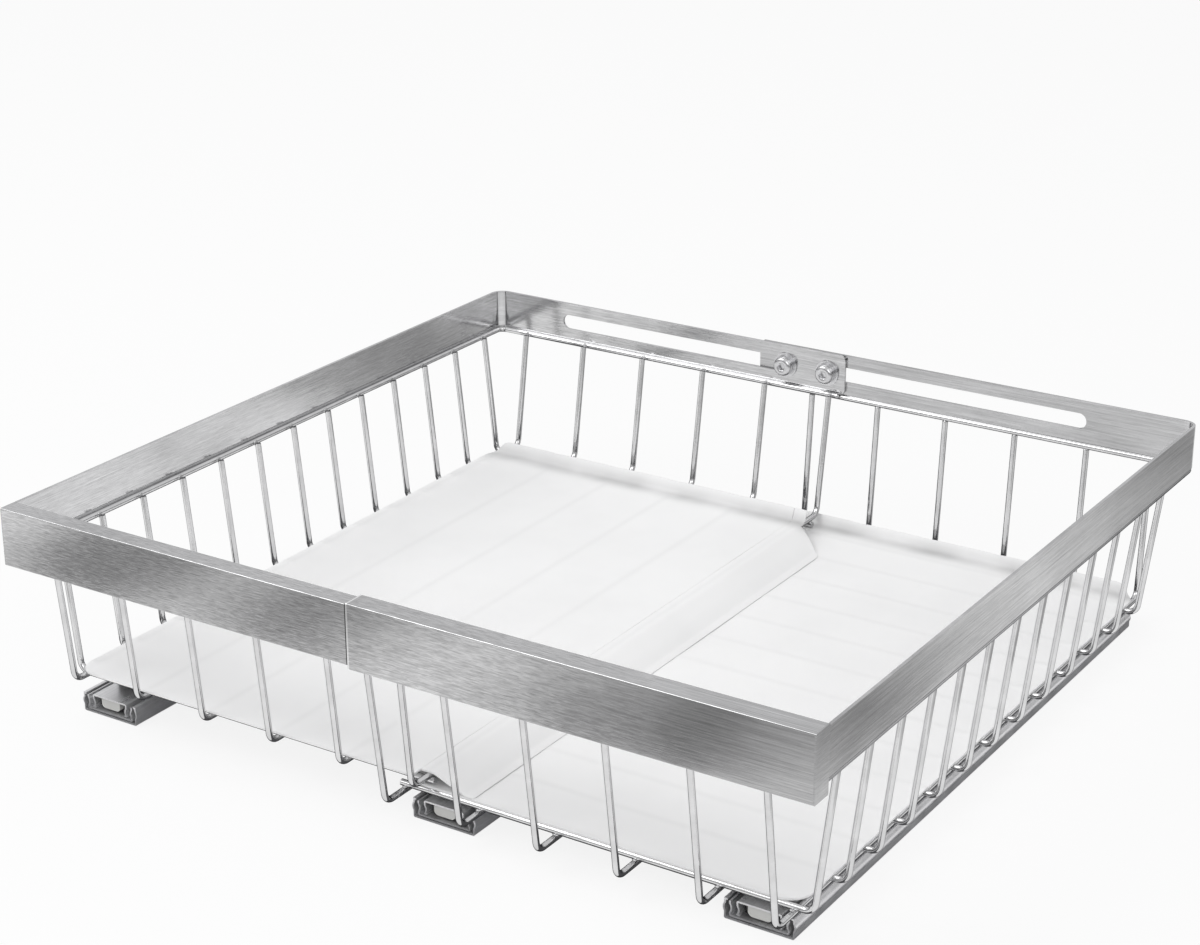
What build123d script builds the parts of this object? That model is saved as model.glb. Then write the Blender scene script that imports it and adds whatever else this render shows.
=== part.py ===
"""Pull-out wire basket for a cabinet, in two halves that telescope sideways.

The left half's wire floor nests over the right half's.  A flat front bar slides
inside a sheet sleeve, two rim strips overlap at the back and are clamped by two
screws in long slots, and three flat ball-bearing slides carry the floor.
X runs along the front, Y from the front to the back, Z up; the origin is the
middle of the overall box at the height of the slides' undersides.
Millimetres.  The part is modelled closed, at its wide setting.
"""
from build123d import *
import math
import os

# ---- overall sizes ----------------------------------------------------------
LEFT_HALF = 300.0        # side of the left half to the free end of its back plate
RIGHT_HALF = 330.0       # side of the right half to the free end of its back plate
PLATE_OVERLAP = 70.0     # of the two back plates at the wide setting
NARROWING = 185.0        # how much the width can be taken in
DEPTH = 532.0            # face of the sleeve to the outer face of the back plates
BASKET_H = 131.6         # underside of the lowest wires to the top of the bar
TOUCH = 0.05             # gap left at a weld or a seat
RUNNING = 0.3            # gap between faces that pass each other

# ---- wires and rods ---------------------------------------------------------
WIRE_D = 4.0
WIRE_R = WIRE_D / 2
BEND_R = 7.0             # centre line radius of a wire's bend
NEST_GAP = 1.9           # between the two halves' cross wires, for the liner
U_COUNT = 6              # front-to-back wires in each half
SIDE_COUNT = 13          # side-to-side wires in each half
END_TILT = 0.4           # room over a slanted wire's square end

# ---- front bar and sleeve ---------------------------------------------------
BAR_D = 12.5
BAR_H = 37.5
BAR_WALL = 1.2
BAR_SPARE = 4.0          # bar's end to the sleeve's cap, at the narrow setting
SHEET = 1.0              # sheet of the sleeve and the end caps
SLEEVE_FIT = 0.1         # sleeve to bar, in front, on top and behind
SLEEVE_DROP = 0.7        # sleeve to bar, underneath
SLEEVE_LENGTH = 295.0    # cap included
SLEEVE_FOOT = 9.0        # how far the bottom flange reaches back
SLEEVE_HOOK = 6.5        # how far the rear lip reaches down
BAR_EDGE_R = 0.5

# ---- rim strips -------------------------------------------------------------
STRIP_T = 2.0
STRIP_H = 29.2
STRIP_R = 10.0           # outside radius of the back corners
STRIP_END_R = 4.0
SLOT_H = 11.0
LEFT_SLOT_SPARE = 1.4    # slot past the screw's room, at the narrow setting
RIGHT_SLOT_SPARE = 5.5
LEFT_SCREW_IN = 14.0     # screw that a plate holds, in from the plate's free end
RIGHT_SCREW_IN = 22.4
SCREW_BELOW_TOP = 14.5
LEFT_ROD_DROP = 0.4      # left rod's centre line, under its strip's lower edge
RIGHT_ROD_SHIFT = 0.5    # right rod's centre line, in from its strip's inner face

# ---- clamp screws -----------------------------------------------------------
SCREW_D = 7.9
HOLE_D = 8.06            # plate holes, washers and nuts, a running fit
HEAD_D = 14.0
HEAD_H = 4.4
HEAD_ROUND = 2.6
SOCKET_AF = 5.0
SOCKET_DEPTH = 2.8
WASHER_D = 18.0
WASHER_T = 1.2
RING_D = 15.0            # spring ring under the head
RING_T = 1.6
NUT_AF = 13.0
NUT_H = 6.5
SCREW_TIP = 0.9          # thread that shows past the nut

# ---- wire places, from each half's own side or end --------------------------
U_SIDE_IN = 30.6         # outermost front-to-back wire, in from the side
LEFT_U_END_IN = 9.15     # innermost one, in from the back plate's free end
RIGHT_U_END_IN = 43.3
RIGHT_U_CORNER = 46.0    # between the right half's last two
LEFT_SIDE_FIRST = 40.5   # first side wire, back from the front face
RIGHT_SIDE_FIRST = 38.3
LEFT_SIDE_LAST = 34.3    # last side wire, in from the back face
RIGHT_SIDE_LAST = 42.5
SIDE_FLOOR_IN = 17.9     # side wires at the floor, in from the side
LEFT_FRONT_TOP = 13.2    # front legs under the bar, back from the front face
LEFT_FRONT_FLOOR = 21.5
RIGHT_FRONT_TOP = 6.6
RIGHT_FRONT_FLOOR = 19.2
LEFT_BACK_FLOOR = 24.0   # back legs at the floor, in from the back face
RIGHT_BACK_FLOOR = 9.8
CROSS_PAST = 2.6         # cross wires run on past the last front-to-back wire

# ---- liners -----------------------------------------------------------------
LINER_T = 1.2
LEFT_LINER_SIDE = 24.7   # in from the side
RIGHT_LINER_SIDE = 26.0
LEFT_LINER_FRONT = 28.4  # back from the front face
RIGHT_LINER_FRONT = 37.5
LEFT_LINER_BACK = 50.0   # foot of the lip, in from the back face
RIGHT_LINER_BACK = 25.1
LINER_LIP = 7.0
LINER_LEAN = 3.5
LINER_CORNER_R = 14.0
LINER_BEND_R = 5.0
FLAP_CREST = 3.65        # flap's bends and end, past the last front-to-back wire
FLAP_FOOT = 25.0
FLAP_END = 31.0
FLAP_BEND_R = 8.0
FLAP_SHORT = 8.0         # flap's rear edge, in from the foot of the lip

# ---- slides -----------------------------------------------------------------
SLIDE_W = 45.0
SLIDE_H = 12.7
SLIDE_LENGTH = 470.0
SLIDE_FRONT = 36.0       # front ends, back from the front face
SLIDE_TRAVEL = 450.0
LEFT_SLIDE_IN = 43.7     # left slide's centre line, in from the left side
RIGHT_SLIDE_IN = 49.8    # right slide's, in from the right side
CENTRE_SLIDE_IN = 72.0   # centre slide's, in from the right back plate's free end
INNER_PROUD = 0.3        # the inner rail's top over the outer rail's lips
OUTER_T = 1.1
WEB_T = 1.2
RAIL_T = 1.1
BULGE = 0.8              # ball groove of the outer rail
WAVE = 0.9               # ball groove of the other two rails
GROOVE_HALF = 2.6        # half the height of a groove
GROOVE_Z = 7.2           # ball height
BALL_SPACE = 2.0         # between the outer and middle walls
INNER_SPACE = 3.5        # between the middle and inner walls
MIDDLE_Z = 2.0
MIDDLE_TOP = 11.6
LEG_FOOT = 3.9           # lowest point of the inner rail's legs
LIP = 1.0
BALL_PLAY = 0.05
POCKET_PLAY = 0.07
CAGE_SPARE = 4.5         # cages' ends to the rails' ends, at the ends of the travel
CAGE_T = 1.1
CAGE_H = 5.2
BALLS_A_SIDE = 6
MOUNT_FIRST = 37.0       # first fixing hole, back from the slide's front end
MOUNT_PITCH = 128.0
MOUNT_LAST = 12.0        # least metal behind the last fixing hole
MOUNT_HOLE_R = 2.3
ACCESS_R = 4.5
CARRIER_W = 24.0
CARRIER_T = 1.5
CARRIER_SHORT = 20.0     # carrier's ends, in from the slide's ends
CHANNEL_FROM = 6.0       # a carrier higher than this is a hollow channel
BLOCK_W = 22.0
BLOCK_L = 22.0
BLOCK_SET_BACK = 5.0
TAB_W = 15.0
TAB_DROP = 6.6
TAB_R = 3.0
TAB_FRONT = 1.0

# ---- places that follow from the sizes --------------------------------------
WIDTH = LEFT_HALF + RIGHT_HALF - PLATE_OVERLAP
NUT_BACK = WASHER_T + NUT_H + SCREW_TIP + 3 * TOUCH
FRONT = -(DEPTH + NUT_BACK) / 2
BACK = FRONT + DEPTH
LEFT = -WIDTH / 2
RIGHT = WIDTH / 2

INNER_TOP = SLIDE_H + INNER_PROUD
RIGHT_U_Z = INNER_TOP + TOUCH + WIRE_R
RIGHT_CROSS_Z = RIGHT_U_Z + WIRE_D + TOUCH
LEFT_CROSS_Z = RIGHT_CROSS_Z + WIRE_D + NEST_GAP
LEFT_U_Z = LEFT_CROSS_Z + WIRE_D + TOUCH
RIGHT_LINER_TOP = RIGHT_CROSS_Z + WIRE_R + TOUCH + LINER_T
BAR_TOP = RIGHT_U_Z - WIRE_R + BASKET_H
BAR_BOTTOM = BAR_TOP - BAR_H
BAR_FRONT = FRONT + SHEET + SLEEVE_FIT
BAR_BACK = BAR_FRONT + BAR_D
SLEEVE_TOP = BAR_TOP + SLEEVE_FIT + SHEET
SLEEVE_BOTTOM = BAR_BOTTOM - SLEEVE_DROP - SHEET
SLEEVE_BACK = BAR_BACK + SLEEVE_FIT + SHEET
BAR_LENGTH = WIDTH - NARROWING - SHEET - BAR_SPARE

LEFT_STRIP_BOTTOM = BAR_TOP - STRIP_H
RIGHT_STRIP_BOTTOM = LEFT_STRIP_BOTTOM - RUNNING
LEFT_PLATE_BACK = BACK - STRIP_T - RUNNING
LEFT_PLATE_FRONT = LEFT_PLATE_BACK - STRIP_T
LEFT_ROD_IN = STRIP_T + WIRE_R + TOUCH
LEFT_ROD_Z = LEFT_STRIP_BOTTOM - LEFT_ROD_DROP
RIGHT_ROD_IN = STRIP_T + RIGHT_ROD_SHIFT
RIGHT_ROD_Z = RIGHT_STRIP_BOTTOM - WIRE_R - TOUCH
RIGHT_ROD_BACK = STRIP_T + TOUCH
LEFT_PLATE_END = LEFT + LEFT_HALF
RIGHT_PLATE_END = RIGHT - RIGHT_HALF
LEFT_SCREW_X = LEFT_PLATE_END - LEFT_SCREW_IN
RIGHT_SCREW_X = RIGHT_PLATE_END + RIGHT_SCREW_IN
SCREW_Z = BAR_TOP - SCREW_BELOW_TOP
LEFT_SLOT = (
    RIGHT_SCREW_X - NARROWING - SLOT_H / 2 - LEFT_SLOT_SPARE,
    RIGHT_SCREW_X + SLOT_H / 2 + RUNNING,
)
RIGHT_SLOT = (
    LEFT_SCREW_X - SLOT_H / 2 - RUNNING,
    LEFT_SCREW_X + NARROWING + SLOT_H / 2 + RIGHT_SLOT_SPARE,
)

LEFT_U_PITCH = (LEFT_HALF - U_SIDE_IN - LEFT_U_END_IN) / (U_COUNT - 1)
RIGHT_U_PITCH = (RIGHT_HALF - U_SIDE_IN - RIGHT_U_CORNER - RIGHT_U_END_IN) / (U_COUNT - 2)
LEFT_SIDE_PITCH = (DEPTH - LEFT_SIDE_FIRST - LEFT_SIDE_LAST) / (SIDE_COUNT - 1)
RIGHT_SIDE_PITCH = (DEPTH - RIGHT_SIDE_FIRST - RIGHT_SIDE_LAST) / (SIDE_COUNT - 1)
LEFT_U = [LEFT + U_SIDE_IN + i * LEFT_U_PITCH for i in range(U_COUNT)]
RIGHT_U = [RIGHT_PLATE_END + RIGHT_U_END_IN + i * RIGHT_U_PITCH for i in range(U_COUNT - 1)]
RIGHT_U.append(RIGHT - U_SIDE_IN)
LEFT_SIDE_Y = [FRONT + LEFT_SIDE_FIRST + i * LEFT_SIDE_PITCH for i in range(SIDE_COUNT)]
RIGHT_SIDE_Y = [FRONT + RIGHT_SIDE_FIRST + i * RIGHT_SIDE_PITCH for i in range(SIDE_COUNT)]

SLIDE_X = {
    "left": LEFT + LEFT_SLIDE_IN,
    "centre": RIGHT_PLATE_END + CENTRE_SLIDE_IN,
    "right": RIGHT - RIGHT_SLIDE_IN,
}
SLIDE_Y0 = FRONT + SLIDE_FRONT
SLIDE_Y1 = SLIDE_Y0 + SLIDE_LENGTH
MOUNT_COUNT = 1 + int((SLIDE_LENGTH - MOUNT_FIRST - MOUNT_LAST) // MOUNT_PITCH)
CAGE_LENGTH = SLIDE_LENGTH - SLIDE_TRAVEL / 2 - 2 * CAGE_SPARE
CAGE_MIDDLE = SLIDE_Y0 + SLIDE_TRAVEL / 4 + CAGE_SPARE + CAGE_LENGTH / 2

OUTER_WALL = SLIDE_W / 2 - BULGE
MIDDLE_WALL = OUTER_WALL - OUTER_T - BALL_SPACE
INNER_WALL = MIDDLE_WALL - RAIL_T - INNER_SPACE


def finish(piece, name):
    """Label one sub-part and write its STEP file."""
    piece.part.label = name
    export_step(piece.part, f"parts/{name}.step")


# ---- wires ------------------------------------------------------------------
def sweep_wire(*points, radius=BEND_R):
    """Add a round wire along straight runs joined by tangent arcs."""
    with BuildLine() as path:
        FilletPolyline(*points, radius=radius)
    with BuildSketch(Plane(origin=path.line @ 0, z_dir=path.line % 0)) as section:
        Circle(WIRE_R)
    sweep(section.sketch, path=path.line)


def make_u_wires(name, xs, front_leg, back_leg, floor_z):
    """Front-to-back wires: a leg under the bar, a floor run and a leg to the rear rod."""
    with BuildPart() as u_wires:
        for x in xs:
            sweep_wire(
                (x, *front_leg[0]),
                (x, front_leg[1], floor_z),
                (x, back_leg[1], floor_z),
                (x, *back_leg[0]),
            )
    finish(u_wires, name)


def make_side_wires(name, ys, top, foot_x, end_x, floor_z):
    """Side-to-side wires: a leg down the outer side, then a run under the floor."""
    with BuildPart() as side_wires:
        for y in ys:
            sweep_wire((top[0], y, top[1]), (foot_x, y, floor_z), (end_x, y, floor_z))
    finish(side_wires, name)


def make_rim_rod(name, side_x, back_y, end_x, z, start_y, radius):
    """Rod under a rim strip: along the side, round the corner and along the back."""
    with BuildPart() as rod:
        sweep_wire((side_x, start_y, z), (side_x, back_y, z), (end_x, back_y, z), radius=radius)
    finish(rod, name)


# ---- front bar, sleeve and caps ---------------------------------------------
def make_front_bar():
    """Left half's bar: a flat tube that slides inside the sleeve."""
    start = LEFT + SHEET
    with BuildPart() as left_front_bar:
        with BuildSketch(Plane.YZ.offset(start)):
            with Locations(((BAR_FRONT + BAR_BACK) / 2, (BAR_BOTTOM + BAR_TOP) / 2)):
                RectangleRounded(BAR_D, BAR_H, BAR_EDGE_R)
                Rectangle(BAR_D - 2 * BAR_WALL, BAR_H - 2 * BAR_WALL, mode=Mode.SUBTRACT)
        extrude(amount=BAR_LENGTH - SHEET)
    finish(left_front_bar, "left_front_bar")


def make_sleeve():
    """Right half's sleeve: front face, top, rear lip and a short bottom flange."""
    with BuildPart() as right_front_sleeve:
        with BuildSketch(Plane.YZ.offset(RIGHT - SLEEVE_LENGTH)):
            with BuildLine():
                Polyline(
                    (FRONT + SLEEVE_FOOT, SLEEVE_BOTTOM),
                    (FRONT, SLEEVE_BOTTOM),
                    (FRONT, SLEEVE_TOP),
                    (SLEEVE_BACK, SLEEVE_TOP),
                    (SLEEVE_BACK, SLEEVE_TOP - SLEEVE_HOOK),
                    (SLEEVE_BACK - SHEET, SLEEVE_TOP - SLEEVE_HOOK),
                    (SLEEVE_BACK - SHEET, SLEEVE_TOP - SHEET),
                    (FRONT + SHEET, SLEEVE_TOP - SHEET),
                    (FRONT + SHEET, SLEEVE_BOTTOM + SHEET),
                    (FRONT + SLEEVE_FOOT, SLEEVE_BOTTOM + SHEET),
                    close=True,
                )
            make_face()
        extrude(amount=SLEEVE_LENGTH - SHEET)
        corners = right_front_sleeve.edges().filter_by(Axis.X)
        fillet(corners.sort_by(Axis.Y)[:2] + corners.sort_by(Axis.Z)[-1:], BAR_EDGE_R)
    finish(right_front_sleeve, "right_front_sleeve")


def make_end_cap(name, x0, y0, y1, z0, z1):
    """Flat plate that closes an outer end of the bar or the sleeve."""
    with BuildPart() as cap:
        with BuildSketch(Plane.YZ.offset(x0)):
            with Locations(((y0 + y1) / 2, (z0 + z1) / 2)):
                RectangleRounded(y1 - y0, z1 - z0, BAR_EDGE_R)
        extrude(amount=SHEET)
    finish(cap, name)


# ---- rim strips -------------------------------------------------------------
def strip_outline(bottom, side_x, start_y, back_y, end_x, inward):
    """Plan of a strip that runs back along a side, round a corner and inwards."""
    with BuildSketch(Plane.XY.offset(bottom)) as outline:
        with BuildLine():
            outer = FilletPolyline(
                (side_x, start_y), (side_x, back_y), (end_x, back_y), radius=STRIP_R
            )
            inner = FilletPolyline(
                (side_x + inward * STRIP_T, start_y),
                (side_x + inward * STRIP_T, back_y - STRIP_T),
                (end_x, back_y - STRIP_T),
                radius=STRIP_R - STRIP_T,
            )
            Line(outer @ 0, inner @ 0)
            Line(outer @ 1, inner @ 1)
        make_face()
    return outline.sketch


def cut_slot(x0, x1, back_y):
    """Long slot with round ends through a back plate."""
    with BuildSketch(Plane.XZ.offset(-back_y)) as slot:
        with Locations(((x0 + x1) / 2, SCREW_Z)):
            SlotOverall(x1 - x0, SLOT_H)
    extrude(slot.sketch, amount=STRIP_T, mode=Mode.SUBTRACT)


def cut_screw_hole(x, back_y):
    """Round hole for the screw that a back plate holds."""
    with BuildSketch(Plane.XZ.offset(-back_y)) as hole:
        with Locations((x, SCREW_Z)):
            Circle(HOLE_D / 2)
    extrude(hole.sketch, amount=STRIP_T, mode=Mode.SUBTRACT)


def make_rim_strip(name, side_x, start_y, back_y, end_x, bottom, slot, hole_x):
    """Bent strip with a long slot and one screw hole in its back plate."""
    inward = 1 if side_x < 0 else -1
    with BuildPart() as strip:
        extrude(strip_outline(bottom, side_x, start_y, back_y, end_x, inward), amount=BAR_TOP - bottom)
        cut_slot(*slot, back_y)
        cut_screw_hole(hole_x, back_y)
        free_edges = strip.edges().filter_by(Axis.Y).sort_by(Axis.X)
        fillet(free_edges[-2:] if inward > 0 else free_edges[:2], STRIP_END_R)
    finish(strip, name)


# ---- clamp screws -----------------------------------------------------------
def make_clamp(side, x):
    """Button-head screw, its washers and ring, and its nut, along Y."""
    washer_y = LEFT_PLATE_FRONT - 2 * TOUCH
    ring_y = washer_y - WASHER_T - TOUCH
    head_y = ring_y - RING_T - TOUCH
    rear_y = BACK + 2 * TOUCH
    nut_y = rear_y + WASHER_T + TOUCH
    tip_y = nut_y + NUT_H + SCREW_TIP
    with BuildPart() as screw:
        with BuildSketch(Plane.XZ.offset(-head_y)):
            with Locations((x, SCREW_Z)):
                Circle(HEAD_D / 2)
        extrude(amount=HEAD_H)
        fillet(screw.faces().sort_by(Axis.Y)[0].edges(), HEAD_ROUND)
        with BuildSketch(Plane.XZ.offset(-tip_y)):
            with Locations((x, SCREW_Z)):
                Circle(SCREW_D / 2)
        extrude(amount=tip_y - head_y)
        with BuildSketch(Plane.XZ.offset(HEAD_H - head_y)):
            with Locations((x, SCREW_Z)):
                RegularPolygon(SOCKET_AF / 2, 6, major_radius=False)
        extrude(amount=-SOCKET_DEPTH, mode=Mode.SUBTRACT)
    finish(screw, f"{side}_clamp_screw")

    with BuildPart() as washers:
        for y, diameter, thickness in (
            (washer_y, WASHER_D, WASHER_T),
            (ring_y, RING_D, RING_T),
            (rear_y + WASHER_T, WASHER_D, WASHER_T),
        ):
            with BuildSketch(Plane.XZ.offset(-y)):
                with Locations((x, SCREW_Z)):
                    Circle(diameter / 2)
                    Circle(HOLE_D / 2, mode=Mode.SUBTRACT)
            extrude(amount=thickness)
    finish(washers, f"{side}_clamp_washers")

    with BuildPart() as nut:
        with BuildSketch(Plane.XZ.offset(-(nut_y + NUT_H))):
            with Locations((x, SCREW_Z)):
                RegularPolygon(NUT_AF / 2, 6, major_radius=False)
                Circle(HOLE_D / 2, mode=Mode.SUBTRACT)
        extrude(amount=NUT_H)
    finish(nut, f"{side}_clamp_nut")


# ---- liners -----------------------------------------------------------------
def make_liner(name, x0, x1, y0, back_y, z, flap=None):
    """Plastic sheet on the floor wires, with a lip turned up along the back."""
    lean = math.atan2(LINER_LEAN, LINER_LIP)
    rise = LINER_T / math.cos(lean)
    run = LINER_T * math.tan(math.pi / 4 - lean / 2)
    lip_y = back_y + LINER_LEAN
    with BuildPart() as liner:
        with BuildSketch(Plane.YZ.offset(x0)):
            with BuildLine():
                under = FilletPolyline(
                    (y0, z), (back_y, z), (lip_y, z + LINER_LIP), radius=LINER_BEND_R + LINER_T
                )
                over = FilletPolyline(
                    (y0, z + LINER_T), (back_y - run, z + LINER_T), (lip_y - rise, z + LINER_LIP),
                    radius=LINER_BEND_R,
                )
                Line(under @ 0, over @ 0)
                Line(under @ 1, over @ 1)
            make_face()
        extrude(amount=x1 - x0)
        with BuildSketch(Plane.XY.offset(z)):
            with Locations(((x0 + x1) / 2, (y0 + lip_y) / 2)):
                RectangleRounded(x1 - x0, lip_y - y0, LINER_CORNER_R)
        extrude(amount=LINER_LIP, mode=Mode.INTERSECT)
        if flap:
            add_flap(x1 - CROSS_PAST, *flap, back_y - FLAP_SHORT, z)
    finish(liner, name)


def add_flap(x0, crest_x, foot_x, end_x, flap_z, y0, y1, z):
    """Flap of a liner that slopes down on to the other half's liner."""
    shift = LINER_T * math.tan(math.atan2(z - flap_z, foot_x - crest_x) / 2)
    with BuildSketch(Plane.XZ.offset(-y1)) as section:
        with BuildLine():
            under = FilletPolyline(
                (x0, z), (crest_x, z), (foot_x, flap_z), (end_x, flap_z), radius=FLAP_BEND_R
            )
            over = FilletPolyline(
                (x0, z + LINER_T),
                (crest_x + shift, z + LINER_T),
                (foot_x + shift, flap_z + LINER_T),
                (end_x, flap_z + LINER_T),
                radius=FLAP_BEND_R,
            )
            Line(under @ 0, over @ 0)
            Line(under @ 1, over @ 1)
        make_face()
    extrude(section.sketch, amount=y1 - y0)


# ---- slides -----------------------------------------------------------------
def wall(outer_u, thickness, v0, v1, groove, side):
    """One side wall of a rail, straight but for a round groove at ball height."""
    va = GROOVE_Z - GROOVE_HALF
    vb = GROOVE_Z + GROOVE_HALF
    inner_u = outer_u - thickness
    with BuildLine() as outline:
        Polyline((side * inner_u, va), (side * inner_u, v0), (side * outer_u, v0), (side * outer_u, va))
        ThreePointArc((side * outer_u, va), (side * (outer_u + groove), GROOVE_Z), (side * outer_u, vb))
        Polyline((side * outer_u, vb), (side * outer_u, v1), (side * inner_u, v1), (side * inner_u, vb))
        ThreePointArc((side * inner_u, vb), (side * (inner_u + groove), GROOVE_Z), (side * inner_u, va))
    make_face(outline.edges())


def band(u0, u1, v0, v1):
    """Rectangle between two corners of a section."""
    with Locations(((u0 + u1) / 2, (v0 + v1) / 2)):
        Rectangle(abs(u1 - u0), v1 - v0)


def section_plane(x):
    """Plane at the back end of a slide, for sections pulled towards the front."""
    return Plane(origin=(x, SLIDE_Y1, 0), x_dir=(1, 0, 0), z_dir=(0, -1, 0))


def mount_points(x):
    """Fixing holes of a slide, one behind another."""
    return [(x, SLIDE_Y0 + MOUNT_FIRST + i * MOUNT_PITCH) for i in range(MOUNT_COUNT)]


def drill(x, radius, z0, z1):
    """Cut the row of fixing or access holes through a floor web."""
    with BuildSketch(Plane.XY.offset(z0)) as holes:
        with Locations(*mount_points(x)):
            Circle(radius)
    extrude(holes.sketch, amount=z1 - z0, mode=Mode.SUBTRACT)


def make_rails(name, x):
    """Three nested rails: a floor channel, a channel in it and a cap channel."""
    with BuildPart() as outer_rail:
        with BuildSketch(section_plane(x)) as section:
            for side in (1, -1):
                wall(OUTER_WALL, OUTER_T, 0, SLIDE_H, BULGE, side)
                band(side * OUTER_WALL, side * (OUTER_WALL - OUTER_T - LIP), SLIDE_H - RAIL_T, SLIDE_H)
            band(-OUTER_WALL, OUTER_WALL, 0, WEB_T)
            fillet(section.vertices().group_by(Axis.Y)[0], OUTER_T)
        extrude(amount=SLIDE_LENGTH)
        drill(x, MOUNT_HOLE_R, 0, WEB_T)
    finish(outer_rail, f"{name}_outer_rail")

    with BuildPart() as middle_rail:
        with BuildSketch(section_plane(x)) as section:
            for side in (1, -1):
                wall(MIDDLE_WALL, RAIL_T, MIDDLE_Z, MIDDLE_TOP, -WAVE, side)
            band(-MIDDLE_WALL, MIDDLE_WALL, MIDDLE_Z, MIDDLE_Z + RAIL_T)
            fillet(section.vertices().group_by(Axis.Y)[0], RAIL_T)
        extrude(amount=SLIDE_LENGTH)
        drill(x, ACCESS_R, MIDDLE_Z, MIDDLE_Z + RAIL_T)
    finish(middle_rail, f"{name}_middle_rail")

    with BuildPart() as inner_rail:
        with BuildSketch(section_plane(x)) as section:
            for side in (1, -1):
                wall(INNER_WALL, RAIL_T, LEG_FOOT, INNER_TOP, -WAVE, side)
                band(side * INNER_WALL, side * (INNER_WALL - RAIL_T - LIP), LEG_FOOT, LEG_FOOT + RAIL_T)
            band(-INNER_WALL, INNER_WALL, INNER_TOP - RAIL_T, INNER_TOP)
            fillet(section.vertices().group_by(Axis.Y)[-1], RAIL_T)
        extrude(amount=SLIDE_LENGTH)
    finish(inner_rail, f"{name}_inner_rail")


def make_bearings(name, x):
    """Ball strips in the two pairs of grooves: a pocketed strip and its balls."""
    outer_faces = (OUTER_WALL - OUTER_T + BULGE, MIDDLE_WALL - WAVE)
    inner_faces = (MIDDLE_WALL - RAIL_T - WAVE, INNER_WALL - WAVE)
    pitch = CAGE_LENGTH / BALLS_A_SIDE
    for row, faces in (("outer", outer_faces), ("inner", inner_faces)):
        offset_x = sum(faces) / 2
        ball_r = (faces[0] - faces[1]) / 2 - BALL_PLAY
        centres = [Pos(x + side * offset_x, CAGE_MIDDLE, GROOVE_Z) for side in (1, -1)]
        with BuildPart() as cages:
            with Locations(*centres):
                Box(CAGE_T, CAGE_LENGTH, CAGE_H)
                with GridLocations(0, pitch, 1, BALLS_A_SIDE):
                    Cylinder(ball_r + POCKET_PLAY, 2 * CAGE_T, rotation=(0, 90, 0), mode=Mode.SUBTRACT)
        finish(cages, f"{name}_{row}_cages")
        with BuildPart() as balls:
            with Locations(*centres):
                with GridLocations(0, pitch, 1, BALLS_A_SIDE):
                    Sphere(ball_r)
        finish(balls, f"{name}_{row}_balls")


def make_stop(name, x):
    """Plastic stop block in the inner rail's front end, with a release tab before it."""
    top = INNER_TOP - RAIL_T - TOUCH
    foot = LEG_FOOT + RAIL_T
    front_y = SLIDE_Y0 + BLOCK_SET_BACK
    with BuildPart() as block:
        with BuildSketch(Plane.XY.offset(foot)):
            with Locations((x, front_y + BLOCK_L / 2)):
                Rectangle(BLOCK_W, BLOCK_L)
        extrude(amount=top - foot)
    finish(block, f"{name}_stop_block")

    with BuildPart() as tab:
        with BuildSketch(Plane.XZ.offset(-(front_y - TOUCH))) as face:
            with Locations((x, top - TAB_DROP / 2)):
                Rectangle(TAB_W, TAB_DROP)
            fillet(face.vertices().group_by(Axis.Y)[0], TAB_R)
        extrude(amount=BLOCK_SET_BACK - TAB_FRONT - TOUCH)
    finish(tab, f"{name}_release_tab")


def make_carrier(name, x, top):
    """Strip or inverted channel that lifts the floor wires off an inner rail."""
    bottom = INNER_TOP
    height = top - bottom
    with BuildPart() as carrier:
        with BuildSketch(Plane.XZ.offset(-(SLIDE_Y1 - CARRIER_SHORT))):
            with Locations((x, bottom + height / 2)):
                Rectangle(CARRIER_W, height)
            if height > CHANNEL_FROM:
                with Locations((x, bottom + (height - CARRIER_T) / 2)):
                    Rectangle(CARRIER_W - 2 * CARRIER_T, height - CARRIER_T, mode=Mode.SUBTRACT)
        extrude(amount=SLIDE_LENGTH - 2 * CARRIER_SHORT)
    finish(carrier, f"{name}_carrier")


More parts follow.
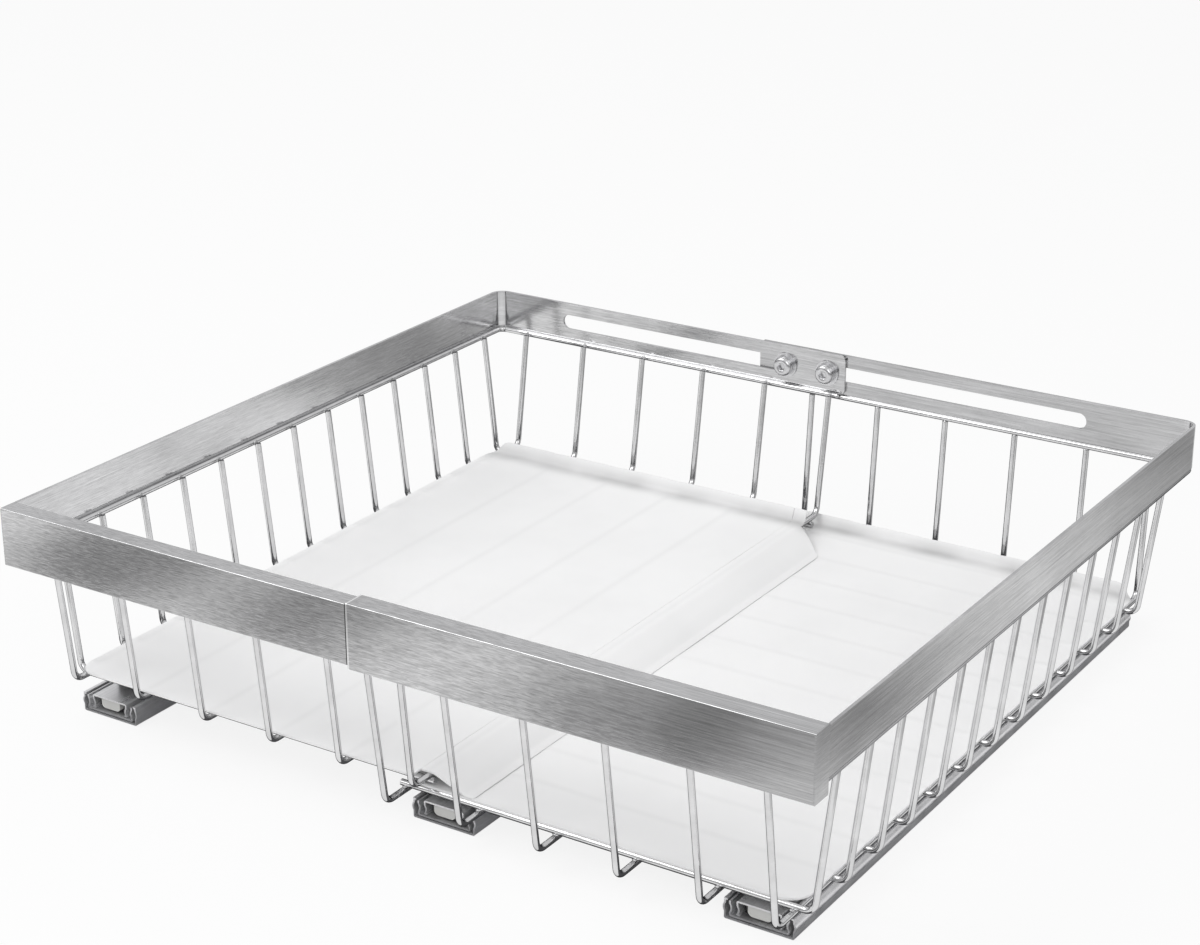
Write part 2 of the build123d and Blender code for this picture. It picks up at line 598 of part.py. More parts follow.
# ---- the two halves ---------------------------------------------------------
def make_left_half():
    """Inner half: bar, caps, strip, rod, wires, liner."""
    make_front_bar()
    make_end_cap("left_bar_end_cap", LEFT, BAR_FRONT, BAR_BACK, BAR_BOTTOM, BAR_TOP)
    make_rim_strip(
        "left_rim_strip", LEFT, BAR_BACK, LEFT_PLATE_BACK, LEFT_PLATE_END, LEFT_STRIP_BOTTOM,
        LEFT_SLOT, LEFT_SCREW_X,
    )
    rod_y = LEFT_PLATE_BACK - LEFT_ROD_IN
    make_rim_rod(
        "left_rim_rod", LEFT + LEFT_ROD_IN, rod_y, LEFT_PLATE_END - WIRE_D, LEFT_ROD_Z,
        BAR_BACK + TOUCH, STRIP_R - LEFT_ROD_IN,
    )
    make_u_wires(
        "left_u_wires", LEFT_U,
        ((FRONT + LEFT_FRONT_TOP, BAR_BOTTOM - END_TILT), FRONT + LEFT_FRONT_FLOOR),
        ((rod_y - WIRE_D - TOUCH, LEFT_ROD_Z), BACK - LEFT_BACK_FLOOR),
        LEFT_U_Z,
    )
    make_side_wires(
        "left_side_wires", LEFT_SIDE_Y,
        (LEFT + LEFT_ROD_IN + WIRE_D + TOUCH, LEFT_ROD_Z),
        LEFT + SIDE_FLOOR_IN, LEFT_U[-1] + CROSS_PAST, LEFT_CROSS_Z,
    )
    make_liner(
        "left_liner", LEFT + LEFT_LINER_SIDE, LEFT_U[-1] - CROSS_PAST,
        FRONT + LEFT_LINER_FRONT, BACK - LEFT_LINER_BACK, LEFT_U_Z + WIRE_R + TOUCH,
        flap=(
            LEFT_U[-1] + FLAP_CREST, LEFT_U[-1] + FLAP_FOOT, LEFT_U[-1] + FLAP_END,
            RIGHT_LINER_TOP + RUNNING, FRONT + RIGHT_LINER_FRONT,
        ),
    )


def make_right_half():
    """Outer half: sleeve, cap, strip, rod, wires, liner."""
    make_sleeve()
    make_end_cap("right_sleeve_end_cap", RIGHT - SHEET, FRONT, SLEEVE_BACK, SLEEVE_BOTTOM, SLEEVE_TOP)
    make_rim_strip(
        "right_rim_strip", RIGHT, SLEEVE_BACK, BACK, RIGHT_PLATE_END, RIGHT_STRIP_BOTTOM,
        RIGHT_SLOT, RIGHT_SCREW_X,
    )
    rod_y = BACK - RIGHT_ROD_BACK
    make_rim_rod(
        "right_rim_rod", RIGHT - RIGHT_ROD_IN, rod_y, RIGHT_PLATE_END + WIRE_D, RIGHT_ROD_Z,
        SLEEVE_BACK + TOUCH, STRIP_R - RIGHT_ROD_IN,
    )
    make_u_wires(
        "right_u_wires", RIGHT_U,
        ((FRONT + RIGHT_FRONT_TOP, SLEEVE_BOTTOM - END_TILT), FRONT + RIGHT_FRONT_FLOOR),
        ((rod_y, RIGHT_ROD_Z - WIRE_R - END_TILT), BACK - RIGHT_BACK_FLOOR),
        RIGHT_U_Z,
    )
    make_side_wires(
        "right_side_wires", RIGHT_SIDE_Y,
        (RIGHT - RIGHT_ROD_IN - WIRE_D - TOUCH, RIGHT_ROD_Z),
        RIGHT - SIDE_FLOOR_IN, RIGHT_U[0] - CROSS_PAST, RIGHT_CROSS_Z,
    )
    make_liner(
        "right_liner", RIGHT_U[0] - CROSS_PAST, RIGHT - RIGHT_LINER_SIDE,
        FRONT + RIGHT_LINER_FRONT, BACK - RIGHT_LINER_BACK, RIGHT_LINER_TOP - LINER_T,
    )


def main():
    """Build every piece."""
    os.makedirs("parts", exist_ok=True)
    make_left_half()
    make_right_half()
    make_clamp("left", LEFT_SCREW_X)
    make_clamp("right", RIGHT_SCREW_X)
    for name, x in SLIDE_X.items():
        make_rails(name, x)
        make_bearings(name, x)
        make_stop(name, x)
        cross_z = LEFT_CROSS_Z if name == "left" else RIGHT_CROSS_Z
        make_carrier(name, x, cross_z - WIRE_R - TOUCH)


main()
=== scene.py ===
"""Looks of a pull-out wire basket for a cabinet, laid out as a Blender add-on.

Two halves of a wire basket nest into each other sideways.  Brushed steel bars and
strips make the rim, polished wires the sides and the floor, and frosted sheets line
the floor.  Three ball-bearing slides carry it.  Metres, Z up, X along the front.
"""

import math

import bpy
import numpy as np
from bpy.props import FloatProperty, FloatVectorProperty, PointerProperty
from mathutils import Matrix, Vector


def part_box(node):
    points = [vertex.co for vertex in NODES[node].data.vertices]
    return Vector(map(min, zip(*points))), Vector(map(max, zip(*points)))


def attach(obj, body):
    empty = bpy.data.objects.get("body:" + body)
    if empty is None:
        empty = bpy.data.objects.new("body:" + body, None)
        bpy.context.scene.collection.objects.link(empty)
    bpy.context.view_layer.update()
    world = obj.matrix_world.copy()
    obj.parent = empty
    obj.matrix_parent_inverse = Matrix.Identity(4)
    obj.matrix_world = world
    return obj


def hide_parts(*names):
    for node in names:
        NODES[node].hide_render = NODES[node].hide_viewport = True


bl_info = {
    "name": "Pull-out cabinet basket",
    "version": (1, 0, 0),
    "blender": (4, 5, 0),
    "location": "3D View > Sidebar > Basket",
    "description": "Builds the looks of a width-adjustable pull-out wire basket",
    "category": "Object",
}

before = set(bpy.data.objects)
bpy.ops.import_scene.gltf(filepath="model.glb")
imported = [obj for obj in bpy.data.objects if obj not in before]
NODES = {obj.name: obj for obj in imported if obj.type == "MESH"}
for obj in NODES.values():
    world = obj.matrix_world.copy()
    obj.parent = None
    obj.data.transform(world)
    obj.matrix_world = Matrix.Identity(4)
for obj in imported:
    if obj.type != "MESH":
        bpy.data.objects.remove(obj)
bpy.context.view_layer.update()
MM = 0.001
WIRE_R = 2.0 * MM
SHEET_T = 1.2 * MM
HALVES = ("left", "right")
SLIDES = ("left", "centre", "right")
WIRES_ALONG = 6
WIRES_ACROSS = 13
LAST_WIRE_GAP = 46 * MM  # the right half's last front-to-back wire stands alone by this much

LIP_LEAN = 3.5 * MM
LEFT_LIP_RISE = 8.6 * MM
RIGHT_LIP_RISE = 7 * MM
LIP_BEND_R = 6.2 * MM
LIP_BEND_SET = 0.4 * MM  # the bend's middle lies this far before the lip's foot
EDGE_ZONE = 16 * MM  # a sheet's rows stand closer together within this of its ends
FOLD_SHADE = 8 * MM, 3 * MM  # width of the band of painted shade in the lip's bend, and its place before the foot

SEAM_TO_WIRE = 5.25 * MM
SEAM_GAP = 0.1 * MM
FLAP_CREST = 3.65 * MM  # past the last wire, where the flap starts to fall
FLAP_SLOPE_RUN = 21.35 * MM
FLAP_TAIL = 6 * MM
FLAP_BEND_R = 8 * MM
FLAP_CLEARANCE = 0.15 * MM
FLAP_CUT = 26 * MM  # length of the curve at its rear corner
FLAP_NARROW = 9.6 * MM
FLAP_TAPER = 16 * MM

HEAD_R = 7 * MM
HEAD_DEPTH = 4.4 * MM
SHANK_R = 3.95 * MM
NUT_BORE_R = 4.06 * MM
NUT_CHAMFER = 0.45 * MM

SHADE_CARD = -0.33, 0.262, -0.25, 0.29, -0.3 * MM
# bands of painted reflection: the floor glows in these greys only for glossy rays, along X in front,
# along Y at the side and behind
FRONT_REFLECTION_BANDS = (
    (-0.505, 1.0), (-0.444, 0.3), (-0.38, 0.25), (-0.315, 0.7), (-0.236, 0.26), (-0.165, 0.75),
    (-0.1, 1.0), (-0.002, 0.5), (0.084, 0.14), (0.157, 0.6), (0.3, 0.8),
)
SIDE_REFLECTION_BANDS = (
    (-0.2, 0.7), (-0.05, 0.5), (0.03, 0.3), (0.15, 0.6), (0.28, 0.95), (0.45, 0.6),
    (0.58, 0.25), (0.75, 0.6),
)
BACK_REFLECTION_BANDS = (0.27, 1.0), (0.33, 0.45), (0.48, 0.3), (0.6, 0.7), (0.7, 0.35)
SKY_BANDS = (
    (0.0, (0.16, 0.16, 0.165)), (0.16, (0.42, 0.42, 0.43)), (0.34, (0.95, 0.95, 0.96)),
    (1.0, (0.95, 0.95, 0.95)),
)
CAMERA_LENS = 76.518
CAMERA_PLACE = 0.8010, -1.2757, 0.7247
CAMERA_ANGLES = 32.8, 21.3, -0.19  # azimuth, elevation and roll in degrees


# ---- shader maths ------------------------------------------------------------
class Value:
    """A number, colour or vector socket that arithmetic can be written on."""

    def __init__(self, maker, socket):
        self.maker = maker
        self.socket = socket

    def math(self, operation, *others, clamp=False):
        """Math node on this value and others."""
        return self.maker.make(
            "ShaderNodeMath", {"operation": operation, "use_clamp": clamp}, [self, *others]
        )

    def __add__(self, other):
        return self.math("ADD", other)

    def __sub__(self, other):
        return self.math("SUBTRACT", other)

    def __rsub__(self, other):
        return self.maker.make("ShaderNodeMath", {"operation": "SUBTRACT"}, [other, self])

    def __mul__(self, other):
        return self.math("MULTIPLY", other)

    __radd__ = __add__
    __rmul__ = __mul__

    def clamp(self):
        """This value held between 0 and 1."""
        return self.math("ADD", 0.0, clamp=True)

    def scaled(self, low, high, to_low=0.0, to_high=1.0):
        """This value mapped from one range to another, held at the ends."""
        return self.maker.make(
            "ShaderNodeMapRange", {"clamp": True},
            {"Value": self, "From Min": low, "From Max": high, "To Min": to_low, "To Max": to_high},
        )


class Maker:
    """Makes nodes in one material or world."""

    def __init__(self, owner):
        owner.use_nodes = True
        self.tree = owner.node_tree
        self.tree.nodes.clear()

    def make(self, kind, settings=None, inputs=(), output=0):
        """A node of this type: its settings first, then values or links for its sockets."""
        node = self.tree.nodes.new(kind)
        for key, value in (settings or {}).items():
            if key == "ramp":
                ramp = node.color_ramp
                while len(ramp.elements) < len(value):
                    ramp.elements.new(0.5)
                for element, (place, colour) in zip(ramp.elements, value):
                    element.position = place
                    element.color = (*colour, 1.0) if len(colour) == 3 else colour
            else:
                setattr(node, key, value)
        pairs = inputs.items() if isinstance(inputs, dict) else enumerate(inputs)
        for key, value in pairs:
            self.join(node.inputs[key], value)
        return Value(self, node.outputs[output])

    def join(self, socket, value):
        """Link or set one socket."""
        if isinstance(value, Value):
            self.tree.links.new(value.socket, socket)
        elif socket.type == "RGBA" and len(value) == 3:
            socket.default_value = (*value, 1.0)
        else:
            socket.default_value = value

    def place(self, scale=(1, 1, 1), location=(0, 0, 0)):
        """Object coordinates, stretched by scale."""
        coordinates = self.make("ShaderNodeTexCoord", output="Object")
        return self.make(
            "ShaderNodeMapping", None,
            {"Vector": coordinates, "Scale": scale, "Location": location},
        )

    def noise(self, vector, scale, detail=3.0, rough=0.5, distortion=0.0):
        """Fractal noise from 0 to 1."""
        return self.make(
            "ShaderNodeTexNoise", {"noise_dimensions": "3D"},
            {"Vector": vector, "Scale": scale, "Detail": detail, "Roughness": rough,
             "Distortion": distortion},
        )

    def mix(self, factor, first, second):
        """Colour between two colours."""
        return self.make(
            "ShaderNodeMix", {"data_type": "RGBA"}, {0: factor, 6: first, 7: second}, output=2
        )

    def bump(self, height, strength, distance, normal=None):
        """Normal of a height field."""
        inputs = {"Height": height, "Strength": strength, "Distance": distance}
        if normal is not None:
            inputs["Normal"] = normal
        return self.make("ShaderNodeBump", None, inputs)

    def shade(self, **sockets):
        """Principled surface whose socket names have underscores for spaces."""
        inputs = {name.replace("_", " "): value for name, value in sockets.items()}
        return self.make("ShaderNodeBsdfPrincipled", None, inputs)

    def output(self, surface):
        """Give the surface or background to the output."""
        world = isinstance(self.tree.id_data, bpy.types.World)
        kind = "ShaderNodeOutputWorld" if world else "ShaderNodeOutputMaterial"
        node = self.tree.nodes.new(kind)
        self.join(node.inputs["Surface"], surface)


def new_maker(name):
    """A fresh material and its node maker."""
    material = bpy.data.materials.new(name)
    return material, Maker(material)


def dress(piece, material):
    """Give a piece or a CAD node one material."""
    piece.data.materials.clear()
    piece.data.materials.append(material)
    return piece


# ---- mesh maths --------------------------------------------------------------
def grid_faces(rows, columns, close_rows=False, close_columns=False, start=0):
    """Quads of a grid of rows by columns points, counted row by row."""
    i = np.arange(rows if close_rows else rows - 1)
    j = np.arange(columns if close_columns else columns - 1)
    a, b = np.meshgrid(i, j, indexing="ij")
    a, b = a.ravel(), b.ravel()
    a1, b1 = (a + 1) % rows, (b + 1) % columns
    quads = np.stack([a * columns + b, a * columns + b1, a1 * columns + b1, a1 * columns + b], 1)
    return quads + start


def make_mesh(name, points, quads, body=None, slot=None, node=None, smooth=True, **masks):
    """Mesh object at the origin from points in metres and quads or triangles.

    It rides on body, stands for node, and carries each mask as a number on its points;
    slot is not used.
    """
    faces = [tuple(face) for block in quads for face in np.asarray(block).tolist()]
    mesh = bpy.data.meshes.new(name)
    mesh.from_pydata(np.concatenate([np.reshape(p, (-1, 3)) for p in points]).tolist(), [], faces)
    mesh.polygons.foreach_set("use_smooth", np.full(len(mesh.polygons), smooth))
    if smooth:
        mesh.set_sharp_from_angle(angle=math.radians(38))
    for key, values in masks.items():
        layer = mesh.attributes.new(key, "FLOAT", "POINT")
        layer.data.foreach_set("value", np.ravel(values).astype(np.float32))
    piece = bpy.data.objects.new(name, mesh)
    bpy.context.scene.collection.objects.link(piece)
    if node:
        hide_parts(node)
    if body:
        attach(piece, body)
    return piece


def sheet_faces(rows, columns, start=0):
    """Quads of a closed sheet: its upper grid, its lower grid turned over and the rim."""
    count = rows * columns
    index = np.arange(count).reshape(rows, columns)
    loop = np.concatenate([index[0, :-1], index[:-1, -1], index[-1, :0:-1], index[:0:-1, 0]])
    after = np.roll(loop, -1)
    rim = np.stack([loop + count, after + count, after, loop], 1)
    upper = grid_faces(rows, columns)
    return np.concatenate([upper, upper[:, ::-1] + count, rim]) + start


def thicken(under, thickness):
    """Upper and lower points of a sheet: top = under + thickness times its unit normal.

    The normal is the cross product of the grid's steps along its columns and its rows.
    """
    normal = np.cross(np.gradient(under, axis=1), np.gradient(under, axis=0))
    normal /= np.linalg.norm(normal, axis=2, keepdims=True)
    return np.concatenate([
        (under + normal * thickness[..., None]).reshape(-1, 3), under.reshape(-1, 3)
    ])


def bent_profile(s, bends):
    """Run and rise of a sheet bent along its length s.

    Its heading turns by angle over an arc of this radius round each place; the run is the
    running sum of the heading's cosine and the rise that of its sine.
    """
    heading = sum(
        angle * np.clip((s - place) / (radius * abs(angle)) + 0.5, 0, 1)
        for place, angle, radius in bends
    )
    middle, step = (heading[1:] + heading[:-1]) / 2, np.diff(s)
    run = np.concatenate([[0], np.cumsum(step * np.cos(middle))])
    rise = np.concatenate([[0], np.cumsum(step * np.sin(middle))])
    return run, rise


def ridges(place, centres, width):
    """Sum of bell curves exp(-((place - centre) / width) squared)."""
    return np.exp(-(((place[..., None] - np.asarray(centres)) / width) ** 2)).sum(-1)


def corner_inset(distance, radius):
    """How far a rounded corner's arc lies in from the side: r - sqrt(r^2 - (r - d)^2)."""
    left = np.clip(radius - distance, 0, radius)
    return radius - np.sqrt(radius**2 - left**2)


def hexagon(angle, across):
    """Distance from a hexagon's middle to its edge: half of across / cos(angle to the flat)."""
    return across / 2 / np.cos((angle + np.pi / 6) % (np.pi / 3) - np.pi / 6)


def turned(radius, along, centre):
    """Rings about an axis along Y: (centre + r sin a, along, centre + r cos a), a round the ring."""
    rows, columns = radius.shape
    angle = np.linspace(0, 2 * np.pi, columns, endpoint=False)
    along = np.broadcast_to(np.asarray(along)[:, None], radius.shape)
    x, z = centre
    return np.stack([x + radius * np.sin(angle), along, z + radius * np.cos(angle)], -1)


def capped_faces(rows, columns):
    """Faces of stacked rings, with a fan to a first and a last pole point after the rings."""
    j = np.arange(columns)
    k = (j + 1) % columns
    pole = rows * columns
    last = (rows - 1) * columns
    first_fan = np.stack([np.full(columns, pole), k, j], 1)
    last_fan = np.stack([np.full(columns, pole + 1), last + j, last + k], 1)
    return [grid_faces(rows, columns, close_columns=True), first_fan, last_fan]


def beads(centres, radii, columns=12, rows=7):
    """Points and faces of weld beads, ellipsoids that swell in slow ripples.

    p = c + radii (cos v cos u, cos v sin u, sin v) (1 + 0.09 sin(3u + k) cos 2v), where k is
    the bead's own number; the poles are points of their own.
    """
    centres = np.asarray(centres, float)
    radii = np.broadcast_to(np.asarray(radii, float), centres.shape)
    v = np.linspace(-np.pi / 2, np.pi / 2, rows + 2)[1:-1][None, :, None]
    u = np.linspace(0, 2 * np.pi, columns, endpoint=False)[None, None, :]
    k = np.arange(len(centres))[:, None, None] * 1.7
    swell = 1 + 0.09 * np.sin(3 * u + k) * np.cos(2 * v)
    ball = np.stack(
        [np.cos(v) * np.cos(u) * swell, np.cos(v) * np.sin(u) * swell, np.sin(v) * swell], -1
    )
    rings = centres[:, None, None, :] + ball * radii[:, None, None, :]
    up = np.array([0, 0, 1.0]) * radii
    poles = np.stack([centres - up, centres + up], 1)
    points = np.concatenate([rings.reshape(len(centres), -1, 3), poles], 1)
    step = np.arange(len(centres)) * points.shape[1]
    faces = [(block[None] + step[:, None, None]).reshape(-1, block.shape[1])
             for block in capped_faces(rows, columns)]
    return points, faces


# ---- places read from the CAD nodes ------------------------------------------
def span(node):
    """Lowest and highest corner of a CAD node, in metres."""
    low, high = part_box(node)
    return np.array(low), np.array(high)


def wire_places(half):
    """Wire places of one half: x of the front-to-back wires, y and height of the others."""
    low, high = span(f"{half}_u_wires")
    side_low, side_high = span(f"{half}_side_wires")
    first, last = low[0] + WIRE_R, high[0] - WIRE_R
    if half == "left":
        along = np.linspace(first, last, WIRES_ALONG)
    else:
        along = np.append(np.linspace(first, last - LAST_WIRE_GAP, WIRES_ALONG - 1), last)
    across = np.linspace(side_low[1] + WIRE_R, side_high[1] - WIRE_R, WIRES_ACROSS)
    return along, across, low[2] + WIRE_R, side_low[2] + WIRE_R


# ---- finishes ----------------------------------------------------------------
def brushed_steel(name, colour, grain_axis, seed, straight=0.0, straight_from=None, joint=None):
    """Brushed sheet: short wavy strokes and long straight lines, over broad soft clouds.

    The strokes are noise stretched eleven to one along the brushing and bent by distortion;
    the lines are noise stretched eighty to one.  straight says how much the lines count,
    and from straight_from to 12 cm further along X they take over.  The last argument gives
    the place along X, and the tone, of a narrow painted line where bar and sleeve meet:
    painted shade in the gap on the bar, a painted highlight along the sleeve's mouth.
    """
    material, m = new_maker(name)
    place = m.place(location=(seed * 0.37, seed * 0.11, seed * 0.23))
    grain_scale = 1500.0

    def stretched(factor):
        scale = (factor, factor if grain_axis == "XY" else 1, 1)
        return m.make("ShaderNodeVectorMath", {"operation": "MULTIPLY"}, [place, scale])

    strokes = m.noise(stretched(0.09), grain_scale, 2.0, 0.5, 0.6)
    lines = m.noise(stretched(0.012), grain_scale, 3.0, 0.6)
    clouds = m.noise(place, 9.0, 2.0, 0.5)
    if straight_from is not None:
        x = m.make("ShaderNodeSeparateXYZ", None, [m.place()], output="X")
        straight = x.scaled(straight_from, straight_from + 0.12) * 0.75
    grain = strokes * (1 - straight) + lines * straight
    tone = grain.scaled(0.3, 0.7) * 0.75 + clouds.scaled(0.35, 0.65) * 0.25
    dark = tuple(c * 0.62 for c in colour)
    light = tuple(min(c * 1.3, 0.97) for c in colour)
    base = m.mix(tone, dark, light)
    # painted seam line: painted shade in the gap on the bar, a painted highlight on the sleeve's
    # mouth
    if joint:
        at, painted_line_tone = joint
        x = m.make("ShaderNodeSeparateXYZ", None, [m.place()], output="X")
        line = (x - at).math("ABSOLUTE").scaled(0.9 * MM, 0.4 * MM)
        base = m.mix(line, base, painted_line_tone)
    rough = grain * 0.08 + (clouds.scaled(0.3, 0.7) * 0.04 + 0.08)
    normal = m.bump(grain, 0.6, 0.00005)
    normal = m.bump(clouds, 0.35, 0.004, normal)
    m.output(m.shade(Base_Color=base, Metallic=1.0, Roughness=rough, Normal=normal))
    return material


def drawn_wire(name, colour):
    """Bright drawn wire: nearly a mirror, with faint clouding and tiny dents."""
    material, m = new_maker(name)
    place = m.place()
    cloud = m.noise(place, 90.0, 3.0)
    specks = m.noise(place, 900.0, 2.0)
    base = m.mix(cloud.scaled(0.35, 0.7), tuple(c * 0.86 for c in colour), colour)
    rough = cloud.scaled(0.3, 0.7) * 0.06 + 0.05
    normal = m.bump(specks * 0.3 + cloud * 0.7, 0.12, 0.0004)
    m.output(m.shade(
        Base_Color=base, Metallic=1.0, Roughness=rough, Normal=normal,
        Specular_Tint=(0.12, 0.12, 0.13, 1.0),
    ))
    return material


def frosted_sheet(name, colour):
    """Frosted plastic sheet: near white, satin, with a fine pebble and faint cloudiness.

    The piece's wire attribute, 1 over a wire and 0 between them, darkens the sheet a little
    with painted shade of the wire beneath it, showing through the sheet; its fold attribute,
    1 along the lip's foot, paints shade into the bend in soft patches.
    """
    material, m = new_maker(name)
    place = m.place()
    pebble = m.noise(place, 2600.0, 2.0)
    cloud = m.noise(place, 16.0, 3.0)
    wire = m.make("ShaderNodeAttribute", {"attribute_name": "wire"}, output="Fac")
    fold = m.make("ShaderNodeAttribute", {"attribute_name": "fold"}, output="Fac")
    low = tuple(c * 0.965 for c in colour)
    base = m.mix(cloud.scaled(0.35, 0.65), low, colour)
    # painted shade over each wire under the sheet
    base = m.mix(wire * 0.5, base, tuple(c * 0.9 for c in colour))
    patches = m.noise(place, 22.0, 2.0).scaled(0.35, 0.65)
    # painted shade in the lip's bend, in soft patches
    base = m.mix(fold * (patches * 0.5 + 0.45), base, tuple(c * 0.54 for c in colour))
    rough = pebble.scaled(0.3, 0.7) * 0.1 + 0.42
    m.output(m.shade(
        Base_Color=base, Roughness=rough, Normal=m.bump(pebble, 0.12, 0.0002),
        Subsurface_Weight=0.15, Subsurface_Radius=(0.004, 0.004, 0.004), Subsurface_Scale=1.0,
        IOR=1.49,
    ))
    return material


def rolled_steel(name, colour, seed=0.0, rough=0.32, metallic=1.0):
    """Zinc-plated rolled steel: lengthwise drawing lines, spangle and light handling marks."""
    material, m = new_maker(name)
    place = m.place(location=(seed, seed * 0.3, 0))
    lines = m.noise(
        m.make("ShaderNodeVectorMath", {"operation": "MULTIPLY"}, [place, (1, 0.02, 1)]),
        900.0, 3.0, 0.6,
    )
    spangle = m.noise(place, 60.0, 4.0, 0.6)
    tone = lines.scaled(0.3, 0.7) * 0.5 + spangle.scaled(0.3, 0.7) * 0.5
    base = m.mix(tone, tuple(c * 0.78 for c in colour), tuple(min(1, c * 1.12) for c in colour))
    roughness = spangle.scaled(0.3, 0.7) * 0.14 + rough
    normal = m.bump(lines, 0.3, 0.00015)
    m.output(m.shade(Base_Color=base, Metallic=metallic, Roughness=roughness, Normal=normal))
    return material


def moulded_plastic(name, colour):
    """Moulded plastic: fine spark-eroded texture and a slight unevenness of tone."""
    material, m = new_maker(name)
    place = m.place()
    grain = m.noise(place, 2200.0, 3.0)
    cloud = m.noise(place, 60.0, 2.0)
    base = m.mix(cloud, tuple(c * 0.85 for c in colour), tuple(min(1, c * 1.1) for c in colour))
    rough = grain * 0.15 + 0.42
    m.output(m.shade(Base_Color=base, Roughness=rough, Normal=m.bump(grain, 0.3, 0.0001)))
    return material


def environment_ramp(maker, place, stops):
    """Grey from stops of (place in metres, grey), smooth between them, along one coordinate."""
    low, high = stops[0][0], stops[-1][0]
    ramp = [((at - low) / (high - low), (grey, grey, grey)) for at, grey in stops]
    return maker.make("ShaderNodeValToRGB", {"ramp": ramp}, [place.scaled(low, high)])


# ---- settings ----------------------------------------------------------------
def colour_property(name, description, default):
    """A colour that the sidebar shows as a swatch."""
    return FloatVectorProperty(
        name=name, description=description, default=default, subtype="COLOR", size=3, min=0, max=1
    )


def length_property(name, description, default):
    """A length in metres."""
    return FloatProperty(name=name, description=description, default=default, unit="LENGTH", min=0)


class BasketMetal(bpy.types.PropertyGroup):
    """Colours of the steel pieces."""

    bar: colour_property("Bar", "Brushed steel of the bar and sleeve", (0.57, 0.57, 0.575))
    strip: colour_property("Strip", "Brushed steel of the rim strips", (0.66, 0.66, 0.665))
    wire: colour_property("Wire", "Polished wires and rods", (0.76, 0.76, 0.765))
    rail: colour_property("Rail", "Zinc-plated slides", (0.84, 0.84, 0.85))
    carrier: colour_property("Carrier", "Strips over the slides", (0.66, 0.66, 0.67))
    screw: colour_property("Screw", "Turned screws, washers and nuts", (0.72, 0.72, 0.73))


class BasketPlastic(bpy.types.PropertyGroup):
    """Colours and shape of the plastic pieces."""

    sheet: colour_property("Sheet", "Frosted floor sheets", (0.95, 0.95, 0.95))
    tab: colour_property("Tab", "Release tabs in the slides", (0.62, 0.62, 0.6))
    block: colour_property("Block", "Stop blocks in the slides", (0.018, 0.018, 0.02))
    ridge: length_property("Ridge", "Rise of a sheet over a wire", 0.2 * MM)
    dimple: length_property("Dimple", "Rise of a sheet's edge at each side wire", 0.45 * MM)
    sag: length_property("Sag", "Slow unevenness of a sheet", 0.1 * MM)
    corner: length_property("Corner", "Radius of a sheet's corners", 14 * MM)
    flap_end: length_property("Flap edge", "Thickness of the flap at its free edge", 0.12 * MM)


class BasketFasteners(bpy.types.PropertyGroup):
    """Sizes of the clamp screws, nuts and weld beads."""

    socket: length_property("Socket", "Width across flats of the hexagon socket", 5 * MM)
    pitch: length_property("Pitch", "Pitch of the screw's thread", 1.25 * MM)
    thread: length_property("Thread depth", "Depth of the screw's thread", 0.5 * MM)
    nut: length_property("Nut", "Width across flats of the nut", 13 * MM)
    bead: length_property("Bead", "Half the width of a weld bead", 2.1 * MM)


class BasketStage(bpy.types.PropertyGroup):
    """Light and floor."""

    key: FloatProperty(name="Key", description="Power of the key lamp", default=28.0, unit="POWER")
    fill: FloatProperty(
        name="Fill", description="Power of the fill lamp", default=11.0, unit="POWER"
    )
    sky: FloatProperty(name="Sky", description="Strength of the studio sky", default=0.8)
    floor: colour_property("Floor", "Studio floor", (0.82, 0.82, 0.82))


